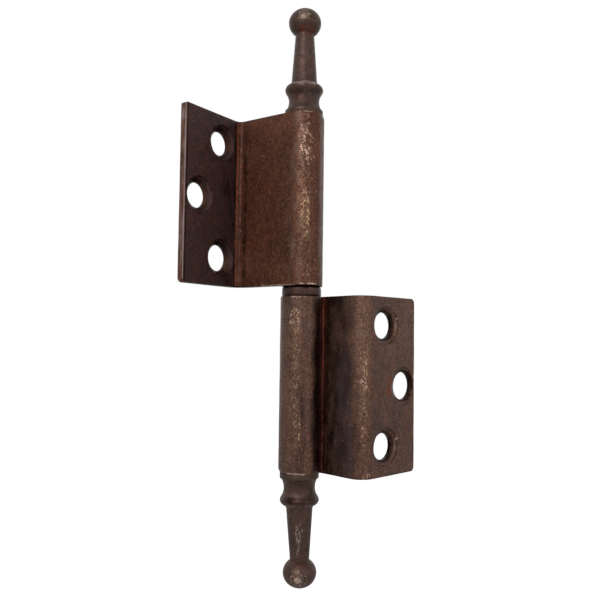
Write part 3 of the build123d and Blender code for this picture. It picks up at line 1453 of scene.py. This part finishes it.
UPPER_SPOTS = (
    # Plate: smooth dark scale.
    Spot(Mark.BLUED, (15.5, 14.5, 20.0), (1.2, 14.0, 60.0), 0.8, 0.6),
    Spot(Mark.SOOT_AND_SHADE, (15.5, 8.5, 16.0), (1.2, 5.0, 40.0), 0.3, 0.3),
    # Inside corner: a line of rust, over painted shade that darkens the bend's inner curve.
    Spot(Mark.RED, (14.8, 5.1, 20.0), (1.6, 1.1, 60.0), 0.6, 0.6),
    Spot(Mark.SOOT_AND_SHADE, (15.1, 5.4, 20.0), (1.3, 1.3, 60.0), 0.75, 0.6),
    Spot(Mark.RUST, (15.3, 5.6, 20.0), (0.6, 0.75, 60.0), 0.85, 0.0),
    Spot(Mark.SOOT_AND_SHADE, (13.4, 4.8, 18.0), (0.9, 0.6, 30.0), 0.6, 0.3),
    # Web: a red bloom; the barrel's shoulder: a painted grey reflection.
    Spot(Mark.GREY_REFLECTION, (-2.2, 4.3, 20.0), (4.6, 3.4, 60.0), 0.36, 0.4),
    Spot(Mark.RED, (9.0, 4.8, 20.0), (8.0, 1.5, 40.0), 0.4, 0.4),
    # Barrel: scratched and rubbed in front, partly a painted highlight, and a painted grey reflection to one
    # side.
    Spot(Mark.SCRATCHED, (-3.4, 3.35, 32.5), (3.2, 3.1, 9.5), 0.9, 0.3),
    Spot(Mark.SCRATCHED, (-3.0, 3.7, 31.0), (2.6, 2.4, 8.5), 0.62, 0.3),
    Spot(Mark.SPECKLED, (-3.2, 3.5, 24.0), (3.3, 3.1, 22.0), 0.6, 0.3),
    Spot(Mark.GILT, (-3.1, 3.6, 14.5), (2.2, 2.2, 9.0), 0.4, 0.2),
    Spot(Mark.BRASSY, (-3.2, 3.6, 16.0), (1.5, 1.5, 8.5), 0.95, 0.5),
    Spot(Mark.SPECKLED, (-3.1, 3.7, 14.5), (2.2, 2.1, 10.0), 0.75, 0.3),
    Spot(Mark.SCRATCHED, (-3.3, 3.5, 21.5), (1.6, 1.5, 5.0), 0.62, 0.4),
    Spot(Mark.GREY_REFLECTION, (-4.7, -0.8, 20.0), (1.1, 1.9, 60.0), 0.8, 0.3),
    Spot(Mark.SPECKLED, (-3.5, 3.3, 3.5), (3.2, 2.8, 5.5), 0.7, 0.3),
    # Ends of the leaf: painted highlights on rubbed rims, over painted shade in the joint below and along
    # the top end.
    Spot(Mark.GLINT_AND_BARE_EDGE, (-3.8, 3.2, 0.4), (5.0, 4.2, 0.3), 0.8, 0.3),
    Spot(Mark.SOOT_AND_SHADE, (-2.0, 2.0, -0.15), (8.0, 7.0, 0.36), 1.0, 0.75),
    Spot(Mark.SOOT_AND_SHADE, (14.0, 5.5, 0.0), (4.0, 3.0, 0.45), 0.8, 0.6),
    Spot(Mark.GLINT_AND_BARE_EDGE, (4.0, 4.8, 0.1), (8.0, 1.0, 0.25), 0.8, 0.7),
    Spot(Mark.GLINT_AND_BARE_EDGE, (-3.0, 3.9, 39.0), (1.9, 2.0, 0.35), 0.5, 0.5),
    Spot(Mark.GLINT_AND_BARE_EDGE, (-3.0, 3.0, 39.9), (2.6, 2.6, 0.4), 0.8, 0.3),
    Spot(Mark.SOOT_AND_SHADE, (10.0, 11.0, 40.1), (12.0, 15.0, 0.55), 0.8, 0.7),
    # Free edge: painted highlights along its arrises, over grey rubbed steel, with a line of painted shade
    # beside them.
    Spot(Mark.BURNISH_AND_HIGHLIGHT, (16.6, 22.8, 18.0), (1.4, 0.5, 40.0), 0.28, 0.5),
    Spot(Mark.BURNISH_AND_HIGHLIGHT, (15.85, 22.8, 20.0), (0.3, 0.3, 60.0), 1.0, 0.5),
    Spot(Mark.BURNISH_AND_HIGHLIGHT, (17.5, 22.6, 20.0), (0.4, 0.5, 60.0), 0.8, 0.3),
    Spot(Mark.SOOT_AND_SHADE, (15.42, 22.5, 20.0), (0.3, 0.4, 60.0), 1.0, 0.5),
    # Thin specks all over.
    Spot(Mark.SPECKLED, (8.0, 10.0, 20.0), (90.0, 90.0, 90.0), 0.35, 0.9),
)

# Places on the turned pieces, in a frame whose -Y looks the way the hinge is most often seen from.
UPPER_FINIAL_SPOTS = (
    # Neck, shaft and cove: rust, and darker in the cove, down one side of the shaft and over the ball's top.
    Spot(Mark.RED, (0.6, -2.5, 61.0), (3.4, 2.4, 1.2), 1.0, 0.5),
    Spot(Mark.RED, (2.2, -1.5, 54.0), (0.9, 1.6, 8.0), 0.5),
    Spot(Mark.SOOT_AND_SHADE, (0.0, -3.5, 45.2), (5.0, 4.5, 1.6), 0.45, 0.5),
    Spot(Mark.SOOT_AND_SHADE, (-2.9, -0.8, 55.0), (1.3, 2.5, 9.0), 0.45, 0.3),
    Spot(Mark.SOOT_AND_SHADE, (0.0, -1.0, 66.5), (3.4, 3.4, 1.3), 0.6, 0.4),
    Spot(Mark.RED, (-1.0, -3.5, 45.2), (3.0, 2.5, 1.6), 0.35, 0.3),
    # Ball: a painted highlight in front, over rubbed and scratched steel.
    Spot(Mark.SPECKLED, (-0.3, -3.2, 64.0), (2.8, 2.4, 2.4), 1.0, 0.4),
    Spot(Mark.GREY_REFLECTION, (-0.3, -3.3, 64.0), (1.8, 1.8, 1.5), 0.9, 0.2),
    Spot(Mark.BURNISH_AND_HIGHLIGHT, (-0.2, -3.3, 63.8), (1.5, 1.8, 1.1), 0.7, 0.0),
    Spot(Mark.PALE, (-0.3, -3.3, 63.7), (1.4, 1.6, 1.1), 0.8, 0.3),
    # Bead: a painted highlight round its upper shoulder over rubbed steel, and a line of painted shade under
    # it.
    Spot(Mark.BURNISH_AND_HIGHLIGHT, (0.3, -3.6, 48.0), (3.6, 3.2, 0.9), 0.75, 0.5),
    Spot(Mark.SOOT_AND_SHADE, (0.0, -4.0, 47.3), (6.0, 5.0, 0.32), 0.5, 0.4),
)

LOWER_FINIAL_SPOTS = (
    # Neck and cove: rust, darker in the cove, and painted shade over the bead's upper side.
    Spot(Mark.RED, (0.3, -2.6, -61.0), (2.4, 1.6, 0.7), 0.8),
    Spot(Mark.RED, (1.0, -3.4, -44.0), (4.0, 3.0, 2.4), 0.3),
    Spot(Mark.SOOT_AND_SHADE, (0.0, -3.4, -45.5), (6.0, 5.0, 5.0), 0.25, 0.5),
    Spot(Mark.SOOT_AND_SHADE, (0.0, -3.8, -46.8), (6.0, 5.0, 1.1), 0.8, 0.4),
    # Shaft: long pale scratches.
    Spot(Mark.PALE, (0.2, -2.6, -55.6), (1.6, 1.1, 6.2), 0.8, 0.4),
    # Ball: a painted highlight in front, over rubbed bare steel.
    Spot(Mark.SPECKLED, (0.2, -3.2, -63.9), (3.0, 2.4, 2.6), 1.0, 0.5),
    Spot(Mark.GREY_REFLECTION, (0.3, -3.5, -63.6), (1.6, 1.6, 1.4), 0.9, 0.2),
    Spot(Mark.PALE, (0.0, -3.5, -63.9), (1.6, 1.5, 1.4), 0.9, 0.4),
    Spot(Mark.GLINT_AND_BARE_EDGE, (-0.1, -3.6, -64.1), (1.2, 1.2, 0.8), 0.85, 0.4),
    Spot(Mark.SCRATCHED, (0.0, -3.6, -64.2), (1.4, 1.4, 1.1), 1.0, 0.6),
    # Bead: a painted highlight round its middle, over rubbed steel.
    Spot(Mark.SPECKLED, (-0.2, -3.4, -48.2), (3.4, 2.4, 0.5), 1.0, 0.5),
)

# Painted shade in the joints above and below the ring, over grime; a painted highlight on its top edge, and
# red rust.
RING_SPOTS = (
    Spot(Mark.SOOT_AND_SHADE, (0.0, 0.0, 1.45), (8.0, 8.0, 1.2), 1.0, 0.85),
    Spot(Mark.SOOT_AND_SHADE, (0.0, 0.0, -1.35), (8.0, 8.0, 0.75), 1.0, 0.8),
    Spot(Mark.GLINT_AND_BARE_EDGE, (1.9, -4.0, 0.6), (1.6, 1.0, 0.2), 0.45),
    Spot(Mark.RED, (0.0, -4.2, -0.2), (6.0, 3.0, 0.9), 0.4, 0.4),
)


def main() -> None:
    """Builds the studio and the hinge, and reports each piece."""
    logging.basicConfig(level=logging.INFO, format="%(name)s: %(message)s")
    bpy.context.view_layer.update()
    barrel_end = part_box("upper_leaf")[1].z / MM
    lower_frame = OwnFrame(foot=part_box("lower_leaf")[0].z / MM)
    upper_frame = OwnFrame(turn=UPPER_LEAF_TURN, foot=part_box("upper_leaf")[0].z / MM)
    facing = OwnFrame(turn=FACING_TURN)
    Studio().build()

    # Rolled sheet, browned and oiled. The eye sees a warm dark brown with a dull satin sheen, clouded where
    # the sheet was handled.
    browned = Patina("browned sheet steel, lower leaf", ground="543a2f", shade="49332a", warm="573629")
    # The same browning with more red in it, and less of the oil's gloss.
    reddened = Patina(
        "browned sheet steel, upper leaf", ground="4f2e20", shade="44271b", warm="54301f", specular=0.25
    )
    # Turned steel that hands have held: greyer, with a finer and closer grain.
    handled = Patina(
        "turned steel, grey-brown from handling",
        ground="46322a",
        shade="3b2a23",
        warm="452e26",
        cloud=6.0,
        mottle=1.0,
        grain=0.35,
        graining=0.36,
    )
    # Turned steel that no hand reaches keeps its dark first scale.
    scaled = Patina("turned steel, dark scale", ground="3f2a23", shade="2e1e1a", warm="442c23")
    # Drawn steel that runs in grease was never browned: it is grey and half bright.
    drawn = Patina(
        "drawn pin steel", ground="77695f", shade="544840", warm="6a4f3f", metallic=0.9, roughness=0.38
    )

    leaves = (
        CrankedLeaf(
            "lower_leaf",
            "lower_half",
            lower_frame,
            reach=14.3,
            plate_width=16.5,
            holes=(
                Screwhole(10.8, 6.5, radius=3.0, sink=1.1),
                Screwhole(17.8, 19.75, radius=3.2, sink=1.0, astray=-0.75),
                Screwhole(10.8, 33.5, radius=3.0, sink=1.1),
            ),
            countersunk_outside=True,
            foot_taper=(0.44, 0.85),
            head_taper=(0.25, 0.35),
            hole_grime_and_shade=1.35,
        ),
        CrankedLeaf(
            "upper_leaf",
            "upper_half",
            upper_frame,
            reach=15.5,
            plate_width=17.9,
            holes=(
                Screwhole(10.8, 6.5, radius=3.05, sink=1.1),
                Screwhole(18.1, 20.0, radius=2.85, sink=1.2),
                Screwhole(10.8, 33.5, radius=2.8, sink=1.2),
            ),
            countersunk_outside=False,
            foot_taper=(0.0, 0.0),
            head_taper=(0.44, 0.85),
            corner_radii=(1.1, 0.3),
            grime_and_shade_cover=0.75,
        ),
    )
    for leaf, patina, spots in zip(leaves, (browned, reddened), (LOWER_SPOTS, UPPER_SPOTS)):
        made = leaf.build(PatinaMaterial(patina, leaf.place, spots + leaf.sooty_and_shaded_holes()).build())
        log.info("%s stands for %s", made.name, leaf.node)

    upwards = Matrix.Translation((0, 0, barrel_end))
    to_the_right = Matrix.Rotation(math.radians(FACING_TURN), 4, "Z")
    leaning = to_the_right @ Matrix.Rotation(math.radians(-LOWER_FINIAL_LEAN), 4, "Y")
    downwards = Matrix.Translation((0, 0, -barrel_end)) @ leaning @ Matrix.Rotation(math.pi, 4, "X")
    for piece, patina, spots in (
        (Finial("lower_finial", "lower_half", "finial", downwards), handled, LOWER_FINIAL_SPOTS),
        (Finial("upper_finial", "upper_half", "finial", upwards), handled, UPPER_FINIAL_SPOTS),
        (BearingRing("bearing_ring", "bearing_ring", "ring"), scaled, RING_SPOTS),
        (HingePin("hinge_pin", "lower_half", "pin"), drawn, ()),
    ):
        made = piece.build(PatinaMaterial(patina, facing, spots).build())
        log.info("%s stands for %s", made.name, piece.node)


if __name__ == "__main__":
    main()
